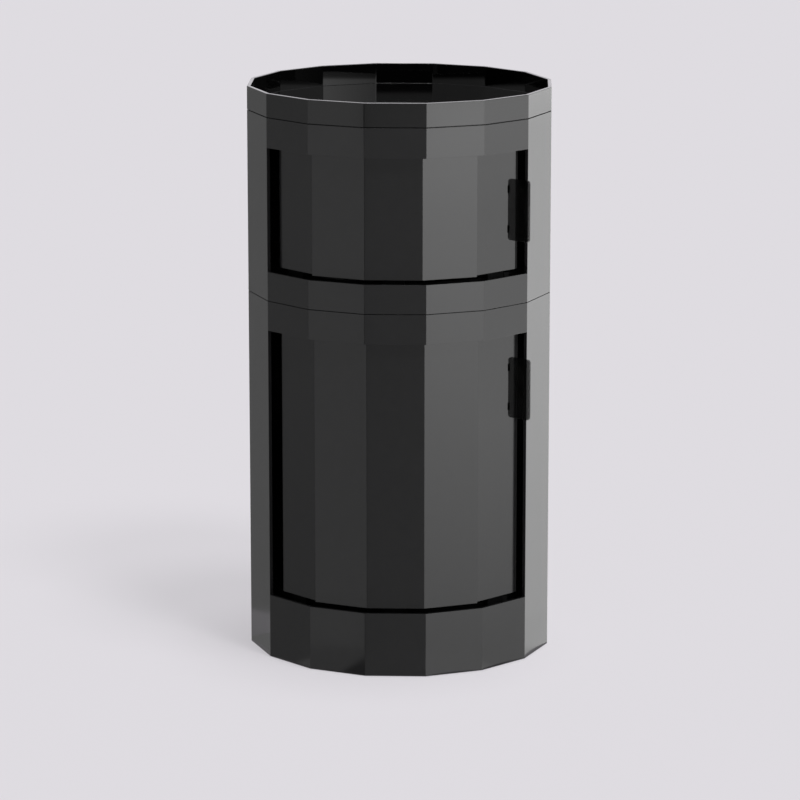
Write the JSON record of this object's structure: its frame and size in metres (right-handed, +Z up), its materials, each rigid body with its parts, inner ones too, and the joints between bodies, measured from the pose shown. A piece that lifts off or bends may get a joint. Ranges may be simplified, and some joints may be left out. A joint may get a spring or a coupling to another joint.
{
  "type": "faceted drum storage cabinet",
  "caption": "Black faceted drum cabinet with stacked shelf spaces behind sliding curved doors, clear smoked pull tabs, and a lift-off tray top.",
  "frame": {"origin": "on the cabinet's vertical axis, at the level of the feet's underside", "axes": "+Z up, the door openings face -Y, +X to the right of someone who faces the doors"},
  "size_m": [0.3432, 0.3432, 0.65],
  "materials": {
    "drum_plastic": "satin black moulded plastic with crisp edges",
    "tray_plastic": "satin black outside, glossy black inside the tray",
    "door_plastic": "satin black moulded plastic",
    "smoked_plastic": "clear smoked plastic, polished",
    "gear_plastic": "black low-friction plastic, as moulded",
    "soft_rubber": "matt black rubber",
    "screw_steel": "zinc-plated steel"
  },
  "bodies": {
    "cabinet": {"lower_shell": "drum_plastic", "upper_shell": "drum_plastic", "base_floor": "drum_plastic", "middle_floor": "drum_plastic", "joining_ring": "drum_plastic", "lower_floor_rail": "gear_plastic", "upper_floor_rail": "gear_plastic", "lower_door_guide": "gear_plastic", "upper_door_guide": "gear_plastic", "base_floor_screws": "screw_steel", "middle_floor_screws": "screw_steel", "lower_guide_screws": "screw_steel", "upper_guide_screws": "screw_steel", "lower_door_stops": "soft_rubber", "upper_door_stops": "soft_rubber", "rubber_feet": "soft_rubber"},
    "lower_door": {"lower_door_panel": "door_plastic", "lower_door_edge_strip": "soft_rubber", "lower_door_handle": "smoked_plastic", "lower_handle_screws": "screw_steel", "lower_door_gliders": "gear_plastic", "lower_glider_screws": "screw_steel", "lower_guide_shoes": "gear_plastic", "lower_shoe_screws": "screw_steel"},
    "upper_door": {"upper_door_panel": "door_plastic", "upper_door_edge_strip": "soft_rubber", "upper_door_handle": "smoked_plastic", "upper_handle_screws": "screw_steel", "upper_door_gliders": "gear_plastic", "upper_glider_screws": "screw_steel", "upper_guide_shoes": "gear_plastic", "upper_shoe_screws": "screw_steel"},
    "lift_off_tray": {"tray": "tray_plastic"}
  },
  "joints": [
    {"name": "lower_door_slide_round", "type": "hinge", "parent": "cabinet", "child": "lower_door", "pos_m": [0, 0, 0], "axis": [0, 0, -1], "range_deg": [0, 100]},
    {"name": "upper_door_slide_round", "type": "hinge", "parent": "cabinet", "child": "upper_door", "pos_m": [0, 0, 0], "axis": [0, 0, -1], "range_deg": [-0.8, 99.2]},
    {"name": "tray_lift", "type": "slide", "parent": "cabinet", "child": "lift_off_tray", "axis": [0, 0, 1], "range_m": [0, 0.06]}
  ]
}
